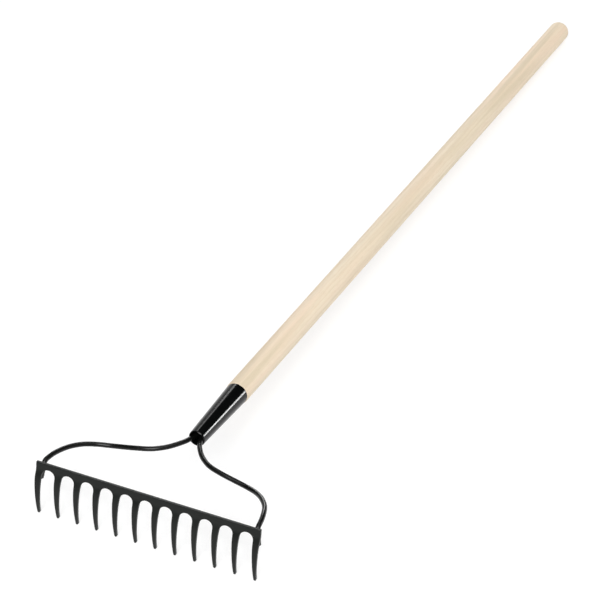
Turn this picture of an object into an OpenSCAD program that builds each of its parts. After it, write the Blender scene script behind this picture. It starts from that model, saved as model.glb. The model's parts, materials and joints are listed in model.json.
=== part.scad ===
// Bow rake: a twelve-tine steel head carried by two bent rods in a ferruled wooden handle.
// The tool is laid out with X across the head, +Y along the handle towards the butt and the
// tine tips at z = 0, then tipped so that it lies on a floor on its tips and its butt.

/* [Head] */
// Number of tines
tine_count = 12; // [10:2:14]
// Distance from one tine to the next
tine_pitch = 26.5; // [24:0.5:30]
// Thickness of the head's steel
plate_t = 3.9; // [3.4:0.1:4.4]
// Depth of the bar above the roots of the tines
bar_depth = 7.4; // [6.5:0.1:9]
// Width of a tine at its tip
tip_w = 3.1; // [2.4:0.1:4]
// Width of a tine where it meets the bar
root_w = 8.2; // [7:0.1:9]
// Height from the tine tips to the top of the bar
head_h = 70.6; // [68:0.2:73]
// Backward lean of the bar
bar_lean = 7; // [4:1:10]

/* [Bow] */
// Diameter of the two rods
rod_d = 6.3; // [5.5:0.1:7]
// Length of the part of each rod that is driven into the handle
tang_len = 62; // [45:1:80]
// Radius of the bend that turns each rod down behind the bar
foot_bend_r = 5.5; // [5:0.5:6]
// Height of the rods' lower ends above the tine tips
foot_z = 46; // [42:1:50]

/* [Handle] */
// Diameter of the handle
handle_d = 30.5; // [28:0.5:34]
// Length of the wooden handle, with the end inside the ferrule
handle_len = 1219; // [900:1:1500]
// Height of the handle's axis above the tine tips
handle_z = 71.6; // [70:0.2:74]

/* [Ferrule] */
// Length of the ferrule
ferrule_len = 109; // [100:1:120]
// Outer diameter at the mouth, where the wood enters
ferrule_mouth_d = 29.4; // [28:0.1:30]
// Outer diameter just above the rounded small end
ferrule_small_d = 21.8; // [21:0.1:23]
// Thickness of the ferrule's wall
ferrule_t = 1.2; // [0.9:0.1:1.4]

/* [Hidden] */
$fn = 96;
eps = 0.01;

black = [0.12, 0.125, 0.12];
gloss_black = [0.05, 0.06, 0.06];
pale_wood = [0.9, 0.82, 0.68];

// Front outline of the head: a bar over tapered tines, with round arches between them.
comb_w = (tine_count - 1) * tine_pitch;
arch_r = (tine_pitch - root_w) / 2;
arch_z = head_h - bar_depth - arch_r;
tip_r = tip_w / 2;

// Side shape of the head. Below the bar the knee turns forward, the shin turns back and the
// blade carries on to the tip at a wider radius. The slopes are measured from upright.
knee_drop = 8;
knee_z = head_h - knee_drop;
knee_r = 15;
shin_r = 42;
blade_r = 125;
knee_slope = bar_lean + 21;
shin_slope = knee_slope - 19;
tip_slope = -15;
knee_c = [0, knee_z] + knee_r * forward(bar_lean);
shin_c = knee_c - (knee_r + shin_r) * forward(knee_slope);
blade_c = shin_c + (shin_r - blade_r) * forward(shin_slope);

// The ferrule starts where the rods spread, and the wood stops short of its small end.
ferrule_y = 128.4;
mouth_y = ferrule_y + ferrule_len;
lip_r = 2;
wood_gap = 14.7;
wood_y = ferrule_y + wood_gap;
butt_r = handle_d / 2;
butt_edge_r = 9;
shaft_end = wood_y + handle_len - butt_edge_r;

// The nail that keeps the ferrule on the wood, driven in from below, between the tangs' end
// and the mouth.
nail_y = mouth_y - 20;
nail_head_d = 5;
nail_head_t = 0.9;
nail_shank_d = 2.2;
nail_len = 10;
nail_z = handle_z - ferrule_r(nail_y - ferrule_y) - 0.1;

// The rod on +X: a route for its centre line from the tang to the bend, then the foot that
// turns down behind the end tine. The bends are laid out for a comb 291.5 wide, and spread
// or close up with it.
tang_x = rod_d / 2 + 0.1;
spread = comb_w / 291.5;
foot_y = 7.4;
foot_top = [142.6 * spread, foot_y + foot_bend_r, 69.5];
foot_end = [foot_top.x + 3.3, foot_y - 2.8, foot_z];
foot_drift = 0.4;
arm_bends = [
    [8.5, 121, 71.5], [15, 109.5, 71.5], [25, 97.5, 71], [39.5, 87, 70.5],
    [57.5, 82.5, 68.5], [75.5, 81.5, 65], [92, 80, 62.5], [107, 74, 63.5],
    [121, 62.5, 66.5], [132.5, 47, 68.5], [139.5, 28, 70]
];
arm_route = concat(
    [for (y = [wood_y + tang_len, wood_y + tang_len / 2, wood_y]) [tang_x, y, handle_z]],
    [[tang_x + 0.6, ferrule_y + 7.6, handle_z]],
    [for (p = arm_bends) [p.x * spread, p.y, p.z]],
    [foot_top]
);
spline_steps = 4;
rod_sides = 20;

// The beads run down both sides of the foot, where it meets the back of the bar.
weld_r = 2.6;
weld_low = [foot_top.x + 1.4, 4, 58.5];
weld_high = [foot_top.x + 0.3, 5.4, 67];

// Lying on the floor, the tool rests on the rear edges of its tips and on the rounded edge
// of the butt.
tip_back = 1.2;
rest_y = shaft_end + tip_back;
rest_z = handle_z - butt_r + butt_edge_r;
rest_tilt = atan(rest_z / rest_y) - asin(butt_edge_r / norm([rest_y, rest_z]));
front_y = blade_c.x * cos(rest_tilt) + blade_c.y * sin(rest_tilt) - blade_r;
back_y = shaft_end * cos(rest_tilt) + (handle_z + butt_r - butt_edge_r) * sin(rest_tilt) + butt_edge_r;

// Forward normal of the head's steel in side view, at a slope from upright.
function forward(slope) = [-cos(slope), sin(slope)];

function unit(v) = v / norm(v);

// A point on the smooth curve between p1 and p2.
function spline_point(p0, p1, p2, p3, t) = 0.5 * (
    2 * p1 + (p2 - p0) * t + (2 * p0 - 5 * p1 + 4 * p2 - p3) * t * t
    + (3 * p1 - p0 - 3 * p2 + p3) * t * t * t
);

// The smooth curve through all of a route's points but the last.
function spline(route) = [
    for (i = [0:len(route) - 2], k = [0:spline_steps - 1])
        spline_point(
            route[max(i - 1, 0)], route[i], route[i + 1], route[min(i + 2, len(route) - 1)],
            k / spline_steps
        )
];

// The foot of a rod: a quarter turn down, then straight to the cut end.
function foot() = concat(
    [for (a = [0:15:90])
        foot_top + [foot_drift * a / 90, -foot_bend_r * sin(a), -foot_bend_r * (1 - cos(a))]],
    [foot_end]
);

function tangent(path, i) = unit(path[min(i + 1, len(path) - 1)] - path[max(i - 1, 0)]);

// Radius of the ferrule's outside at a distance from its small end, above the lip.
function ferrule_r(s) =
    (ferrule_small_d + (ferrule_mouth_d - ferrule_small_d) * (s - lip_r) / (ferrule_len - lip_r)) / 2;

// Lays the tool on the floor, with the middle of its length at the origin.
module resting() {
    translate([0, -(front_y + back_y) / 2, -tip_back * sin(rest_tilt)]) rotate([-rest_tilt, 0, 0]) children();
}

// Turns children() from +Z to +Y, onto the handle's axis at a distance along it.
module on_handle_axis(y) {
    translate([0, y, handle_z]) rotate([-90, 0, 0]) children();
}

// One face of the steel in side view, from the bar's top down to below the tip. The front
// face has an offset of zero, and the back face is offset by the steel's thickness.
function side_face(offset) = concat(
    [[0, knee_z] + head_h * [sin(bar_lean), cos(bar_lean)] - offset * forward(bar_lean)],
    [for (s = [bar_lean:3:knee_slope]) knee_c - (knee_r + offset) * forward(s)],
    [for (s = [knee_slope - 3:-3:shin_slope]) shin_c + (shin_r - offset) * forward(s)],
    [for (s = [shin_slope:-2:tip_slope]) blade_c + (blade_r - offset) * forward(s)]
);

// The steel plate in side view, with +X backwards and +Y up.
module head_side() {
    back = side_face(plate_t);
    polygon(concat(side_face(0), [for (i = [len(back) - 1:-1:0]) back[i]]));
}

// The comb in front view, with +Y up.
module head_front() {
    difference() {
        translate([-(comb_w + root_w) / 2, arch_z]) square([comb_w + root_w, head_h - arch_z]);
        for (i = [0:tine_count - 2])
            translate([(i + 0.5) * tine_pitch - comb_w / 2, arch_z]) circle(arch_r);
    }
    for (i = [0:tine_count - 1]) translate([i * tine_pitch - comb_w / 2, 0]) {
        polygon([[-tip_r, tip_r], [tip_r, tip_r], [root_w / 2, arch_z + eps], [-root_w / 2, arch_z + eps]]);
        translate([0, tip_r]) circle(tip_r);
    }
}

module comb() {
    intersection() {
        rotate([90, 0, 90]) linear_extrude(height = comb_w + 2 * tine_pitch, center = true) head_side();
        translate([0, tine_pitch, 0]) rotate([90, 0, 0]) linear_extrude(height = 2 * tine_pitch) head_front();
    }
}

// A round bar along a path. The reference direction is never in line with these rods.
module round_bar(path, d, sides) {
    reference = [0.5, -0.6, 0.62];
    rings = [
        for (i = [0:len(path) - 1])
            let (t = tangent(path, i), n = unit(cross(t, reference)), b = cross(t, n))
                for (k = [0:sides - 1])
                    path[i] + d / 2 * (cos(360 * k / sides) * n + sin(360 * k / sides) * b)
    ];
    last = (len(path) - 1) * sides;
    walls = [
        for (i = [0:len(path) - 2], k = [0:sides - 1])
            let (a = i * sides + k, b = i * sides + (k + 1) % sides)
                each [[a, b + sides, b], [a, a + sides, b + sides]]
    ];
    ends = [[for (k = [0:sides - 1]) k], [for (k = [sides - 1:-1:0]) last + k]];
    polyhedron(points = rings, faces = concat(walls, ends), convexity = 6);
}

module rod() {
    round_bar(concat(spline(arm_route), foot()), rod_d, rod_sides);
}

// The two weld beads beside a rod's foot, cut to the rod and to the back of the bar.
module beads() {
    difference() {
        for (side = [-1, 1]) hull() {
            translate([weld_low.x + side * weld_r, weld_low.y, weld_low.z]) sphere(weld_r, $fn = 24);
            translate([weld_high.x + side * weld_r, weld_high.y, weld_high.z]) sphere(weld_r, $fn = 24);
        }
        comb();
        rod();
    }
}

module rake_head() {
    color(black) resting() comb();
}

module bow_arm_right() {
    color(black) resting() rod();
}

module bow_arm_left() {
    color(black) resting() mirror([1, 0, 0]) rod();
}

module weld_right() {
    color(black) resting() beads();
}

module weld_left() {
    color(black) resting() mirror([1, 0, 0]) beads();
}

// A conical sleeve whose small end is rolled in to a rounded lip.
module ferrule() {
    lip_c = [ferrule_small_d / 2 - lip_r, lip_r];
    color(gloss_black) resting() difference() {
        on_handle_axis(ferrule_y) rotate_extrude() polygon(concat(
            [for (a = [60:-15:0]) lip_c + lip_r * [cos(a), -sin(a)]],
            [[ferrule_mouth_d / 2, ferrule_len], [ferrule_mouth_d / 2 - ferrule_t, ferrule_len]],
            [for (a = [0:15:60]) lip_c + (lip_r - ferrule_t) * [cos(a), -sin(a)]]
        ));
        translate([0, nail_y, 0]) cylinder(h = handle_z, d = nail_shank_d + 0.2);
    }
}

// The nail stands upright under the ferrule, with its head against the wall.
module ferrule_nail() {
    color(gloss_black) resting()
        translate([0, nail_y, nail_z]) {
            translate([0, 0, -nail_head_t]) cylinder(h = nail_head_t, d = nail_head_d);
            cylinder(h = nail_len, d = nail_shank_d);
        }
}

// A round wooden shaft: a tapered end that fills the ferrule, and a butt with a rounded edge.
module handle() {
    taper_len = mouth_y - wood_y;
    shaft_len = shaft_end - wood_y;
    color(pale_wood) resting() difference() {
        on_handle_axis(wood_y) rotate_extrude() polygon(concat(
            [[0, 0], [ferrule_r(wood_gap) - ferrule_t, 0], [ferrule_r(ferrule_len) - ferrule_t, taper_len]],
            [[butt_r, taper_len]],
            [for (a = [0:10:90]) [butt_r - butt_edge_r, shaft_len] + butt_edge_r * [cos(a), sin(a)]],
            [[0, shaft_len + butt_edge_r]]
        ));
        for (side = [-1, 1])
            translate([side * tang_x, 0, 0]) on_handle_axis(wood_y - 1) cylinder(h = tang_len + 1, d = rod_d);
        translate([0, nail_y, 0]) cylinder(h = nail_z + nail_len, d = nail_shank_d);
    }
}

rake_head();
bow_arm_left();
bow_arm_right();
weld_left();
weld_right();
ferrule();
ferrule_nail();
handle();
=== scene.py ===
import json
import math

import bmesh
import bpy
from mathutils import Matrix, Vector


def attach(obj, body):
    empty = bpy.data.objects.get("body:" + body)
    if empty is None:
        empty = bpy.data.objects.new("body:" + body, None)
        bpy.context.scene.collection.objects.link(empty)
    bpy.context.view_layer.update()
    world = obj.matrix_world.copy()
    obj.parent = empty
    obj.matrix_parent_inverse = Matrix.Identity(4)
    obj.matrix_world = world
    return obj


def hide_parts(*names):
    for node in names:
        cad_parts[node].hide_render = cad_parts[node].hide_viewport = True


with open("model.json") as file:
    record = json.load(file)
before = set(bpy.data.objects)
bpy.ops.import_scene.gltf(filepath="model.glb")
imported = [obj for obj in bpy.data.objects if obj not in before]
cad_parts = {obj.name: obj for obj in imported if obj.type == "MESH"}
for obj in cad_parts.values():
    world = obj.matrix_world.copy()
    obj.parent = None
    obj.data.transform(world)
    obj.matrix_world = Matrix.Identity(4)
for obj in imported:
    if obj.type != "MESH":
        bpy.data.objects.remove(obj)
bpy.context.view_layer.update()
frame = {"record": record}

# ---------------------------------------------------------------- dimensions
# The tool's own axes: X across the head, +Y along the handle, +Z up, with the tine
# tips at z = 0 and the front of the knee, just under the bar, at y = 0. All in metres.
MM = 0.001

TINES = 12
PITCH = 26.5 * MM
PLATE_T = 3.9 * MM
BAR_DEPTH = 7.4 * MM
HEAD_H = 70.6 * MM
TIP_W = 3.1 * MM
ROOT_W = 8.2 * MM
EDGE_R = 0.55 * MM  # rounding of the steel's edges, which only the visible mesh has

# Slopes of the head's steel in side view, in degrees from upright.
BAR_LEAN = 7
KNEE_SLOPE = BAR_LEAN + 21
SHIN_SLOPE = KNEE_SLOPE - 19
TIP_SLOPE = -15
KNEE_Z = HEAD_H - 8 * MM
KNEE_R = 15 * MM
SHIN_R = 42 * MM
BLADE_R = 125 * MM

ROD_D = 6.3 * MM
FOOT_BEND_R = 5.5 * MM
FOOT_Z = 46 * MM

FERRULE_Y = 128.4 * MM
FERRULE_LEN = 109 * MM
FERRULE_MOUTH_R = 14.7 * MM
FERRULE_SMALL_R = 10.9 * MM
FERRULE_T = 1.2 * MM
LIP_R = 2 * MM
MOUTH_Y = FERRULE_Y + FERRULE_LEN
WOOD_Y = FERRULE_Y + 14.7 * MM
NAIL_Y = MOUTH_Y - 20 * MM

GRIP = frame["record"]["mounts"][0]
HANDLE_Z = 71.6 * MM
HANDLE_R = GRIP["dims"]["r_mm"] * MM
SHAFT_LEN = GRIP["dims"]["length_mm"] * MM
BUTT_EDGE_R = 9 * MM


def tool_matrix():
    """The tool's own axes in the row frame, from the handle's axis in the record."""
    axis = Vector(GRIP["axis"])
    turn = Matrix.Rotation(-math.atan2(-axis.z, axis.y), 4, "X")
    middle = Vector((0, MOUTH_Y + SHAFT_LEN / 2, HANDLE_Z))
    return Matrix.Translation(Vector(GRIP["pos_m"]) - turn @ middle) @ turn


TOOL = tool_matrix()


# ------------------------------------------------------------ making pieces
def piece(name, mesh, material, nodes):
    """A finished piece: placed on the tool, riding on the root body, standing for CAD nodes."""
    obj = bpy.data.objects.new(name, mesh)
    bpy.context.scene.collection.objects.link(obj)
    mesh.transform(TOOL)
    mesh.materials.clear()
    mesh.materials.append(material)
    mesh.polygons.foreach_set("use_smooth", [True] * len(mesh.polygons))
    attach(obj, "root")
    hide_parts(*nodes)
    return obj


def even_shading(obj):
    """Lets large faces lead the shading, so that small rounded edges don't tilt it."""
    shading = obj.modifiers.new("even_shading", "WEIGHTED_NORMAL")
    shading.weight = 80


def mesh_of(obj):
    """The evaluated mesh of a temporary object, which is then removed."""
    bpy.context.view_layer.update()
    graph = bpy.context.evaluated_depsgraph_get()
    mesh = bpy.data.meshes.new_from_object(obj.evaluated_get(graph))
    bpy.data.objects.remove(obj)
    return mesh


def temporary(name, data):
    obj = bpy.data.objects.new(name, data)
    bpy.context.scene.collection.objects.link(obj)
    return obj


def arc(centre, radius, start, end, steps):
    """Points on an arc in a plane, angles in degrees."""
    angles = [math.radians(start + (end - start) * k / steps) for k in range(steps + 1)]
    return [(centre[0] + radius * math.cos(a), centre[1] + radius * math.sin(a)) for a in angles]


def lathe(name, profile, start_y, segments=128):
    """A closed surface turned about the handle's axis from (radius, distance) points."""
    mesh = bpy.data.meshes.new(name)
    bm = bmesh.new()
    rings = []
    for radius, distance in profile:
        y = start_y + distance
        if radius < 1e-7:
            rings.append([bm.verts.new((0, y, HANDLE_Z))])
            continue
        turn = [2 * math.pi * k / segments for k in range(segments)]
        rings.append([
            bm.verts.new((radius * math.cos(a), y, HANDLE_Z + radius * math.sin(a))) for a in turn
        ])
    for low, high in zip(rings, rings[1:]):
        for k in range(segments):
            n = (k + 1) % segments
            corners = [
                low[k % len(low)], high[k % len(high)], high[n % len(high)], low[n % len(low)]
            ]
            bm.faces.new(list(dict.fromkeys(corners)))
    bmesh.ops.recalc_face_normals(bm, faces=bm.faces)
    bm.to_mesh(mesh)
    bm.free()
    return mesh


# ---------------------------------------------------------------- rake head
def forward(slope):
    """Forward normal of the head's steel in side view, as (y, z)."""
    return Vector((-math.cos(math.radians(slope)), math.sin(math.radians(slope))))


def side_face(offset):
    """(y, z) points of one face of the steel, from the bar's top down to below the tip."""
    knee = Vector((0, KNEE_Z)) + KNEE_R * forward(BAR_LEAN)
    shin = knee - (KNEE_R + SHIN_R) * forward(KNEE_SLOPE)
    blade = shin + (SHIN_R - BLADE_R) * forward(SHIN_SLOPE)
    up = Vector((math.sin(math.radians(BAR_LEAN)), math.cos(math.radians(BAR_LEAN))))
    points = [Vector((0, KNEE_Z)) + HEAD_H * up - offset * forward(BAR_LEAN)]
    points += [knee - (KNEE_R + offset) * forward(s) for s in range(BAR_LEAN, KNEE_SLOPE)]
    points += [shin + (SHIN_R - offset) * forward(s) for s in range(KNEE_SLOPE, SHIN_SLOPE, -1)]
    points += [
        blade + (BLADE_R - offset) * forward(s) for s in range(SHIN_SLOPE, TIP_SLOPE - 1, -1)
    ]
    return points


def height_lookup(points):
    """The face's y at any height z."""
    def at(z):
        for high, low in zip(points, points[1:]):
            if z >= low[1]:
                break
        t = (z - low[1]) / (high[1] - low[1])
        return low[0] + (high[0] - low[0]) * t
    return at


def head_outline():
    """Front outline of the head as (x, z) points, once round."""
    comb_w = (TINES - 1) * PITCH
    arch_r = (PITCH - ROOT_W) / 2
    arch_z = HEAD_H - BAR_DEPTH - arch_r
    tip_r = TIP_W / 2
    outline = [(-(comb_w + ROOT_W) / 2, HEAD_H)]
    for i in range(TINES):
        x = i * PITCH - comb_w / 2
        outline.append((x - ROOT_W / 2, arch_z))
        outline += arc((x, tip_r), tip_r, 180, 360, 8)
        outline.append((x + ROOT_W / 2, arch_z))
        if i < TINES - 1:
            outline += arc((x + PITCH / 2, arch_z), arch_r, 180, 0, 20)[1:-1]
    outline.append(((comb_w + ROOT_W) / 2, HEAD_H))
    return outline


def head_mesh():
    """A flat plate with rounded edges, cut into bands and bent to the side shape."""
    curve = bpy.data.curves.new("head_outline", "CURVE")
    curve.dimensions = "2D"
    curve.fill_mode = "BOTH"
    curve.extrude = PLATE_T / 2 - EDGE_R
    curve.bevel_depth = EDGE_R
    curve.bevel_resolution = 2
    curve.offset = -EDGE_R
    outline = head_outline()
    spline = curve.splines.new("POLY")
    spline.points.add(len(outline) - 1)
    spline.use_cyclic_u = True
    for point, (x, z) in zip(spline.points, outline):
        point.co = (x, z, 0, 1)
    mesh = mesh_of(temporary("head_outline", curve))

    bm = bmesh.new()
    bm.from_mesh(mesh)
    bmesh.ops.remove_doubles(bm, verts=bm.verts, dist=1e-6)
    band = 1.5 * MM
    for k in range(1, int(HEAD_H / band)):
        everything = bm.verts[:] + bm.edges[:] + bm.faces[:]
        bmesh.ops.bisect_plane(
            bm, geom=everything, dist=1e-7, plane_co=(0, k * band, 0), plane_no=(0, 1, 0)
        )
    front = height_lookup(side_face(0))
    back = height_lookup(side_face(PLATE_T))
    for v in bm.verts:
        x, z, depth = v.co
        t = 0.5 - depth / PLATE_T
        v.co = (x, front(z) * (1 - t) + back(z) * t, z)
    bmesh.ops.recalc_face_normals(bm, faces=bm.faces)
    bm.to_mesh(mesh)
    bm.free()
    return mesh


# ----------------------------------------------------------------- bow rods
# The rod on +X. Its bends are points of its centre line in mm, from the ferrule to the foot.
TANG_X = ROD_D / 2 + 0.1 * MM
FOOT_Y = 7.4 * MM
FOOT_TOP = Vector((142.6 * MM, FOOT_Y + FOOT_BEND_R, 69.5 * MM))
FOOT_END = Vector((FOOT_TOP.x + 3.3 * MM, FOOT_Y - 2.8 * MM, FOOT_Z))
FOOT_DRIFT = 0.4 * MM
TANG_LEN = 62 * MM
ARM_BENDS = [
    (8.5, 121, 71.5), (15, 109.5, 71.5), (25, 97.5, 71), (39.5, 87, 70.5),
    (57.5, 82.5, 68.5), (75.5, 81.5, 65), (92, 80, 62.5), (107, 74, 63.5),
    (121, 62.5, 66.5), (132.5, 47, 68.5), (139.5, 28, 70),
]


def smooth_route(route, steps):
    """The curve that passes smoothly through the route's points, without its last point."""
    points = []
    for i in range(len(route) - 1):
        p0 = route[max(i - 1, 0)]
        p1 = route[i]
        p2 = route[i + 1]
        p3 = route[min(i + 2, len(route) - 1)]
        for k in range(steps):
            t = k / steps
            points.append(0.5 * (
                2 * p1 + (p2 - p0) * t + (2 * p0 - 5 * p1 + 4 * p2 - p3) * t * t
                + (3 * p1 - p0 - 3 * p2 + p3) * t * t * t
            ))
    return points


def rod_path():
    """Centre line of the rod on +X, from the end of its tang to its cut foot."""
    tang = [
        Vector((TANG_X, y, HANDLE_Z))
        for y in (WOOD_Y + TANG_LEN, WOOD_Y + TANG_LEN / 2, WOOD_Y)
    ]
    # Inside the ferrule's small end, the two rods start to part.
    neck = Vector((TANG_X + 0.6 * MM, FERRULE_Y + 7.6 * MM, HANDLE_Z))
    arm = [Vector(p) * MM for p in ARM_BENDS]
    path = smooth_route(tang + [neck] + arm + [FOOT_TOP], 8)
    for degrees in range(0, 91, 6):
        a = math.radians(degrees)
        down = Vector((
            FOOT_DRIFT * degrees / 90,
            -FOOT_BEND_R * math.sin(a),
            -FOOT_BEND_R * (1 - math.cos(a)),
        ))
        path.append(FOOT_TOP + down)
    return path + [FOOT_END]


def rod_mesh(side):
    """A round rod along the path, with its cut end broken by a small chamfer."""
    path = [Vector((side * p.x, p.y, p.z)) for p in rod_path()]
    chamfer = 0.6 * MM
    cut_face = 0.82  # share of the rod's radius that the chamfer leaves
    along = (path[-1] - path[-2]).normalized()
    path.insert(-1, path[-1] - chamfer * along)
    curve = bpy.data.curves.new("rod", "CURVE")
    curve.dimensions = "3D"
    curve.bevel_depth = ROD_D / 2
    curve.bevel_resolution = 7
    curve.use_fill_caps = True
    spline = curve.splines.new("POLY")
    spline.points.add(len(path) - 1)
    for point, p in zip(spline.points, path):
        point.co = (*p, 1)
    spline.points[-1].radius = cut_face
    mesh = mesh_of(temporary("rod", curve))
    bm = bmesh.new()
    bm.from_mesh(mesh)
    bmesh.ops.remove_doubles(bm, verts=bm.verts, dist=1e-6)
    bmesh.ops.recalc_face_normals(bm, faces=bm.faces)
    bm.to_mesh(mesh)
    bm.free()
    return mesh


def weld_mesh(side):
    """Two rippled beads beside a rod's foot, each a run of overlapping drops."""
    bead_r = 2.5 * MM
    low = Vector((144, 4.2, 58.9)) * MM
    high = Vector((142.9, 5.4, 66.6)) * MM
    drops = 7
    bm = bmesh.new()
    for flank in (-1, 1):
        for k in range(drops):
            t = k / (drops - 1)
            centre = low.lerp(high, t)
            centre.x += flank * bead_r
            ripple = 0.05 if k % 2 else -0.03
            swell = 0.82 + 0.16 * math.sin(math.pi * t) + ripple
            place = Matrix.Translation((side * centre.x, centre.y, centre.z))
            bmesh.ops.create_icosphere(bm, subdivisions=3, radius=bead_r * swell, matrix=place)
    mesh = bpy.data.meshes.new("weld")
    bm.to_mesh(mesh)
    bm.free()
    obj = temporary("weld", mesh)
    remesh = obj.modifiers.new("fuse", "REMESH")
    remesh.mode = "VOXEL"
    remesh.voxel_size = 0.3 * MM
    smooth = obj.modifiers.new("soften", "SMOOTH")
    smooth.factor = 0.5
    smooth.iterations = 2
    return mesh_of(obj)


# ------------------------------------------------- ferrule, nail and handle
def ferrule_mesh():
    """A conical sleeve: rolled-in lip at the small end, softened edge at the mouth."""
    lip = (FERRULE_SMALL_R - LIP_R, LIP_R)
    soft = 0.35 * MM
    outside = arc(lip, LIP_R, -60, 0, 10)
    # Rings close to both ends of the cone keep its shading straight between them.
    after_lip = [LIP_R + 0.4 * MM, LIP_R + 1.2 * MM]
    before_mouth = [FERRULE_LEN - 1.6 * MM, FERRULE_LEN - 0.8 * MM]
    for s in after_lip + [FERRULE_LEN / 2] + before_mouth:
        outside.append((ferrule_r(FERRULE_Y + s), s))
    inside = arc(lip, LIP_R - FERRULE_T, 0, -60, 6)
    mouth = arc((FERRULE_MOUTH_R - soft, FERRULE_LEN - soft), soft, 0, 90, 4)
    inner_mouth = [(FERRULE_MOUTH_R - FERRULE_T, FERRULE_LEN)]
    profile = outside + mouth + inner_mouth + inside
    return lathe("ferrule", profile + profile[:1], FERRULE_Y)


def ferrule_r(y):
    """Outer radius of the ferrule at a place along the handle's axis."""
    t = (y - FERRULE_Y - LIP_R) / (FERRULE_LEN - LIP_R)
    return FERRULE_SMALL_R + (FERRULE_MOUTH_R - FERRULE_SMALL_R) * t


def nail_mesh():
    """A nail standing under the ferrule, with a flat round head whose rim is softened."""
    head_r = 2.5 * MM
    head_t = 0.9 * MM
    shank_r = 1.1 * MM
    length = 10 * MM
    rim_r = 0.45 * MM
    top = HANDLE_Z - ferrule_r(NAIL_Y) - 0.1 * MM
    rim = arc((head_r - rim_r, -head_t + rim_r), rim_r, -90, 0, 6)
    shank = [(shank_r, 0), (shank_r, length - shank_r), (0, length)]
    profile = [(0, -head_t)] + rim + [(head_r, 0)] + shank
    mesh = bpy.data.meshes.new("nail")
    bm = bmesh.new()
    verts = [bm.verts.new((radius, NAIL_Y, top + z)) for radius, z in profile]
    edges = [bm.edges.new(pair) for pair in zip(verts, verts[1:])]
    bmesh.ops.spin(
        bm, geom=verts + edges, cent=(0, NAIL_Y, top), axis=(0, 0, 1),
        angle=2 * math.pi, steps=32, use_merge=True
    )
    bmesh.ops.remove_doubles(bm, verts=bm.verts, dist=1e-6)
    bmesh.ops.recalc_face_normals(bm, faces=bm.faces)
    bm.to_mesh(mesh)
    bm.free()
    return mesh


def handle_mesh():
    """The turned handle: tapered end in the ferrule, small shoulder, shaft and rounded butt."""
    taper_r = ferrule_r(WOOD_Y) - FERRULE_T
    mouth_r = FERRULE_MOUTH_R - FERRULE_T
    soft = 0.5 * MM
    shaft = MOUTH_Y - WOOD_Y
    profile = [(0, 0), (taper_r - soft, 0), (taper_r, soft), (mouth_r, shaft)]
    profile += arc((HANDLE_R - soft, shaft + soft), soft, -90, 0, 4)
    rings = 60
    profile += [
        (HANDLE_R, shaft + soft + (SHAFT_LEN - soft) * k / rings) for k in range(1, rings)
    ]
    profile += arc((HANDLE_R - BUTT_EDGE_R, shaft + SHAFT_LEN), BUTT_EDGE_R, 0, 90, 12)
    profile += [(0, shaft + SHAFT_LEN + BUTT_EDGE_R)]
    return lathe("handle", profile, WOOD_Y)


# ---------------------------------------------------------------- materials
def new_material(name):
    material = bpy.data.materials.new(name)
    material.use_nodes = True
    tree = material.node_tree
    return material, tree, tree.nodes["Principled BSDF"]


def node(tree, kind, **settings):
    made = tree.nodes.new(kind)
    for key, value in settings.items():
        setattr(made, key, value)
    return made


def coordinates(tree, scale=(1, 1, 1), offset=(0, 0, 0), turn=(0, 0, 0)):
    """The tool's own axes as texture coordinates, then turned, stretched and offset."""
    source = node(tree, "ShaderNodeTexCoord")
    own_axes = node(tree, "ShaderNodeMapping")
    back = TOOL.inverted()
    own_axes.inputs["Location"].default_value = back.to_translation()
    own_axes.inputs["Rotation"].default_value = back.to_euler()
    tree.links.new(source.outputs["Object"], own_axes.inputs["Vector"])
    mapping = node(tree, "ShaderNodeMapping")
    mapping.inputs["Location"].default_value = offset
    mapping.inputs["Rotation"].default_value = turn
    mapping.inputs["Scale"].default_value = scale
    tree.links.new(own_axes.outputs["Vector"], mapping.inputs["Vector"])
    return mapping.outputs["Vector"]


def noise(tree, vector, scale, detail, roughness):
    made = node(tree, "ShaderNodeTexNoise")
    made.inputs["Scale"].default_value = scale
    made.inputs["Detail"].default_value = detail
    made.inputs["Roughness"].default_value = roughness
    tree.links.new(vector, made.inputs["Vector"])
    return made.outputs["Fac"]


def ramp(tree, value, stops):
    """Maps a 0 to 1 value through colour stops: (position, grey or RGB)."""
    made = node(tree, "ShaderNodeValToRGB")
    elements = made.color_ramp.elements
    while len(elements) < len(stops):
        elements.new(0.5)
    for element, (position, colour) in zip(elements, stops):
        element.position = position
        rgb = colour if isinstance(colour, tuple) else (colour,) * 3
        element.color = (*rgb, 1)
    tree.links.new(value, made.inputs["Fac"])
    return made.outputs["Color"]


def mix(tree, factor, a, b, blend="MIX"):
    made = node(tree, "ShaderNodeMix", data_type="RGBA", blend_type=blend)
    for socket, value in ((made.inputs[0], factor), (made.inputs[6], a), (made.inputs[7], b)):
        if hasattr(value, "is_linked"):
            tree.links.new(value, socket)
        elif isinstance(value, tuple):
            socket.default_value = (*value, 1)
        else:
            socket.default_value = value
    return made.outputs[2]


def bump(tree, shader, height, strength, distance):
    made = node(tree, "ShaderNodeBump")
    made.inputs["Strength"].default_value = strength
    made.inputs["Distance"].default_value = distance
    tree.links.new(height, made.inputs["Height"])
    tree.links.new(made.outputs["Normal"], shader.inputs["Normal"])


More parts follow.
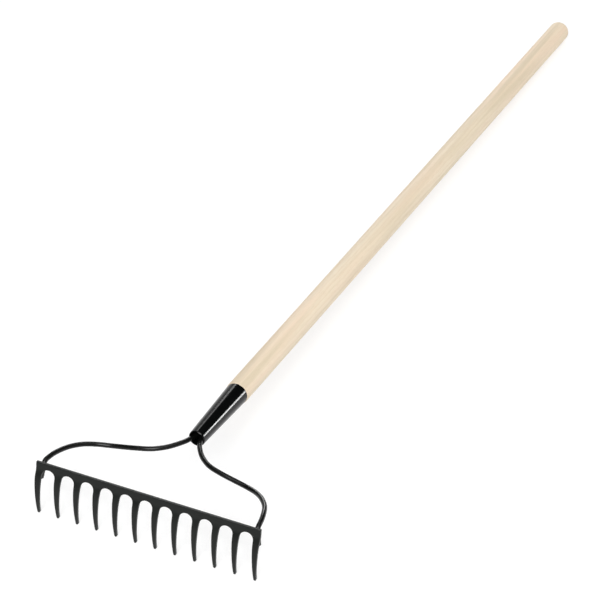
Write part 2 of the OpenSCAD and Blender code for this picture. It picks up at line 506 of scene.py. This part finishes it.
def satin_black(name, base, roughness, specular):
    """Black baked-on paint over steel: fine grain, with faint clouds in its tone and sheen."""
    material, tree, shader = new_material(name)
    place = coordinates(tree)
    cloud = noise(tree, place, 45, 4, 0.6)
    grain = noise(tree, place, 1400, 3, 0.6)
    dark = tuple(0.75 * c for c in base)
    light = tuple(1.3 * c for c in base)
    spread = 0.06
    tree.links.new(ramp(tree, cloud, [(0.3, dark), (0.7, light)]), shader.inputs["Base Color"])
    rough = ramp(tree, cloud, [(0.3, roughness - spread), (0.7, roughness + spread)])
    tree.links.new(rough, shader.inputs["Roughness"])
    shader.inputs["Specular IOR Level"].default_value = specular
    bump(tree, shader, grain, 0.18, 0.00012)
    return material


def gloss_black():
    """Thick glossy enamel with a trace of orange peel and a little dust."""
    material, tree, shader = new_material("gloss_black_enamel")
    place = coordinates(tree)
    peel = noise(tree, place, 260, 2, 0.5)
    dust = noise(tree, place, 90, 4, 0.65)
    clean = (0.001, 0.0012, 0.0012)
    dusty = (0.002, 0.0023, 0.0023)
    tree.links.new(ramp(tree, dust, [(0.35, clean), (0.75, dusty)]), shader.inputs["Base Color"])
    tree.links.new(ramp(tree, dust, [(0.35, 0.13), (0.75, 0.17)]), shader.inputs["Roughness"])
    shader.inputs["Specular IOR Level"].default_value = 0.3
    bump(tree, shader, peel, 0.02, 0.0001)
    return material


def growth_rings(tree):
    """Growth rings as long stripes, round a pith well outside the handle."""
    skew = (math.radians(0.55), 0, math.radians(0.8))
    pith = coordinates(tree, offset=(0.034, 0, -0.112), turn=skew)
    rings = node(
        tree, "ShaderNodeTexWave", wave_type="RINGS", rings_direction="Y", wave_profile="SAW"
    )
    rings.inputs["Scale"].default_value = 62
    rings.inputs["Distortion"].default_value = 2.2
    rings.inputs["Detail"].default_value = 2
    rings.inputs["Detail Scale"].default_value = 0.6
    tree.links.new(pith, rings.inputs["Vector"])
    early_wood = (0.80, 0.695, 0.545)
    middle_wood = (0.79, 0.68, 0.525)
    late_wood = (0.755, 0.635, 0.475)
    stops = [(0.0, early_wood), (0.55, middle_wood), (0.9, late_wood), (1.0, middle_wood)]
    return ramp(tree, rings.outputs["Fac"], stops)


def painted_shade_end(tree):
    """Painted shade: 1 on the end grain deep inside the ferrule's small end, 0 on the rest of the
    handle.
    """
    along = node(tree, "ShaderNodeSeparateXYZ")
    tree.links.new(coordinates(tree, (1 / WOOD_Y,) * 3), along.inputs["Vector"])
    # Halved, so that the wood's end lies at 0.5, inside the ramp's range.
    halved = mix(tree, 1.0, along.outputs["Y"], (0.5, 0.5, 0.5), "MULTIPLY")
    return ramp(tree, halved, [(0.504, 1.0), (0.512, 0.0)])


def pale_wood():
    """Pale turned ash under thin lacquer: growth rings, soft bands, fine fibre and pores."""
    material, tree, shader = new_material("pale_ash")
    # The grain is noise stretched along the handle, more for the finer features.
    wander = noise(tree, coordinates(tree, (1, 0.03, 1)), 60, 2, 0.5)
    drift = noise(tree, coordinates(tree, (1, 0.1, 1)), 40, 3, 0.55)
    bands = noise(tree, coordinates(tree, (1, 0.03, 1), (0.2, 0, 0.1)), 105, 2, 0.5)
    fibre = noise(tree, coordinates(tree, (1, 0.012, 1)), 1500, 4, 0.7)
    pits = noise(tree, coordinates(tree, (1, 0.035, 1)), 2600, 2, 0.5)

    pink = (0.81, 0.65, 0.50)
    grey = (0.66, 0.565, 0.415)
    fibre_tone = (0.70, 0.56, 0.38)
    pore_tone = (0.55, 0.41, 0.26)
    black = (0.004, 0.004, 0.004)
    colour = mix(tree, ramp(tree, drift, [(0.4, 0.0), (0.62, 0.8)]), growth_rings(tree), pink)
    colour = mix(tree, ramp(tree, bands, [(0.45, 0.0), (0.66, 0.75)]), colour, grey)
    colour = mix(tree, ramp(tree, fibre, [(0.35, 0.0), (0.75, 0.16)]), colour, fibre_tone)
    pores = mix(tree, 0.2, (0.0, 0.0, 0.0), ramp(tree, pits, [(0.36, 1.0), (0.43, 0.0)]))
    colour = mix(tree, pores, colour, pore_tone)
    # The end grain, recessed in the ferrule's small end, is painted black as shade.
    colour = mix(tree, painted_shade_end(tree), colour, black)
    tree.links.new(colour, shader.inputs["Base Color"])
    tree.links.new(ramp(tree, fibre, [(0.3, 0.42), (0.7, 0.56)]), shader.inputs["Roughness"])
    shader.inputs["Specular IOR Level"].default_value = 0.1
    raised_fibre = ramp(tree, fibre, [(0.2, 0.0), (0.8, 1.0)])
    waves = ramp(tree, wander, [(0, 0.0), (1, 1.0)])
    bump(tree, shader, mix(tree, 0.5, raised_fibre, waves), 0.12, 0.0002)
    return material


# ------------------------------------------------------------------- build
HEAD_PAINT = satin_black("satin_black_head", (0.004, 0.0054, 0.0045), 0.38, 0.24)
ROD_PAINT = satin_black("satin_black_rods", (0.003, 0.0034, 0.003), 0.24, 0.3)
ENAMEL = gloss_black()
WOOD = pale_wood()


def build():
    head = piece("comb", head_mesh(), HEAD_PAINT, ["rake_head"])
    even_shading(head)
    for side, word in ((-1, "left"), (1, "right")):
        piece("rod_" + word, rod_mesh(side), ROD_PAINT, ["bow_arm_" + word])
        piece("bead_" + word, weld_mesh(side), ROD_PAINT, ["weld_" + word])
    piece("sleeve", ferrule_mesh(), ENAMEL, ["ferrule"])
    piece("sleeve_nail", nail_mesh(), ENAMEL, ["ferrule_nail"])
    shaft = piece("shaft", handle_mesh(), WOOD, ["handle"])
    even_shading(shaft)


build()


# --------------------------------------------------- floor, light and camera
def floor():
    """A plain white floor that gives off part of its own light, as a light table does."""
    material, tree, shader = new_material("studio_floor")
    shader.inputs["Base Color"].default_value = (0.42, 0.42, 0.42, 1)
    shader.inputs["Emission Color"].default_value = (1, 1, 1, 1)
    shader.inputs["Emission Strength"].default_value = 0.62
    shader.inputs["Roughness"].default_value = 0.9
    shader.inputs["Specular IOR Level"].default_value = 0.0
    reach = 14
    corners = [(-reach, -reach, 0), (reach, -reach, 0), (reach, reach, 0), (-reach, reach, 0)]
    mesh = bpy.data.meshes.new("studio_floor")
    mesh.from_pydata(corners, [], [(0, 1, 2, 3)])
    mesh.materials.append(material)
    obj = bpy.data.objects.new("studio_floor", mesh)
    bpy.context.scene.collection.objects.link(obj)


def softbox(name, aim, direction, distance, size, radiance):
    """A rectangular light that faces a point from a direction, given by its brightness."""
    data = bpy.data.lights.new(name, "AREA")
    data.shape = "RECTANGLE"
    data.size, data.size_y = size
    data.energy = radiance * math.pi * size[0] * size[1]
    obj = bpy.data.objects.new(name, data)
    bpy.context.scene.collection.objects.link(obj)
    away = Vector(direction).normalized()
    obj.location = Vector(aim) + away * distance
    obj.rotation_euler = away.to_track_quat("Z", "Y").to_euler()


def lights():
    # The surroundings are pale near the horizon and dim overhead.
    world = bpy.data.worlds.new("studio")
    bpy.context.scene.world = world
    world.use_nodes = True
    tree = world.node_tree
    source = node(tree, "ShaderNodeTexCoord")
    height = node(tree, "ShaderNodeSeparateXYZ")
    tree.links.new(source.outputs["Generated"], height.inputs["Vector"])
    surroundings = ramp(tree, height.outputs["Z"], [(0.1, 0.7), (0.26, 0.045)])
    tree.links.new(surroundings, tree.nodes["Background"].inputs["Color"])
    tree.nodes["Background"].inputs["Strength"].default_value = 1.0
    middle = (0, 0, 0.05)
    sleeve = (0, -0.49, 0.06)
    head = (0, -0.68, 0.06)
    softbox("front", middle, (0.22, -0.74, 0.63), 8.0, (5.2, 4.0), 9.0)
    softbox("overhead", middle, (0.1, -0.2, 1), 3.6, (4.4, 3.4), 1.2)
    softbox("back", head, (-0.37, 0.86, 0.36), 4.0, (1.2, 1.0), 9.0)
    softbox("back_left_panel", sleeve, (-0.64, 0.66, 0.38), 4.0, (1.7, 2.2), 0.5)
    softbox("back_left_strip", sleeve, (-0.36, 0.67, 0.64), 4.0, (0.24, 1.2), 5.5)
    softbox("right_strip", sleeve, (0.725, 0.685, 0.095), 4.0, (0.26, 0.75), 34.0)


def camera():
    """A long lens from the right, in front and above, held level."""
    azimuth = math.radians(25.63)
    elevation = math.radians(34.765)
    target = Vector((-0.0786, -0.0929, -0.0367))
    distance = 3.6957
    back = Vector((
        math.sin(azimuth) * math.cos(elevation),
        -math.cos(azimuth) * math.cos(elevation),
        math.sin(elevation),
    ))
    data = bpy.data.cameras.new("camera")
    data.sensor_width = 36
    data.lens = 161.8
    obj = bpy.data.objects.new("camera", data)
    bpy.context.scene.collection.objects.link(obj)
    obj.location = target + distance * back
    obj.rotation_euler = (math.pi / 2 - elevation, 0, azimuth)
    bpy.context.scene.camera = obj


floor()
lights()
camera()
bpy.context.scene.view_settings.view_transform = "Standard"
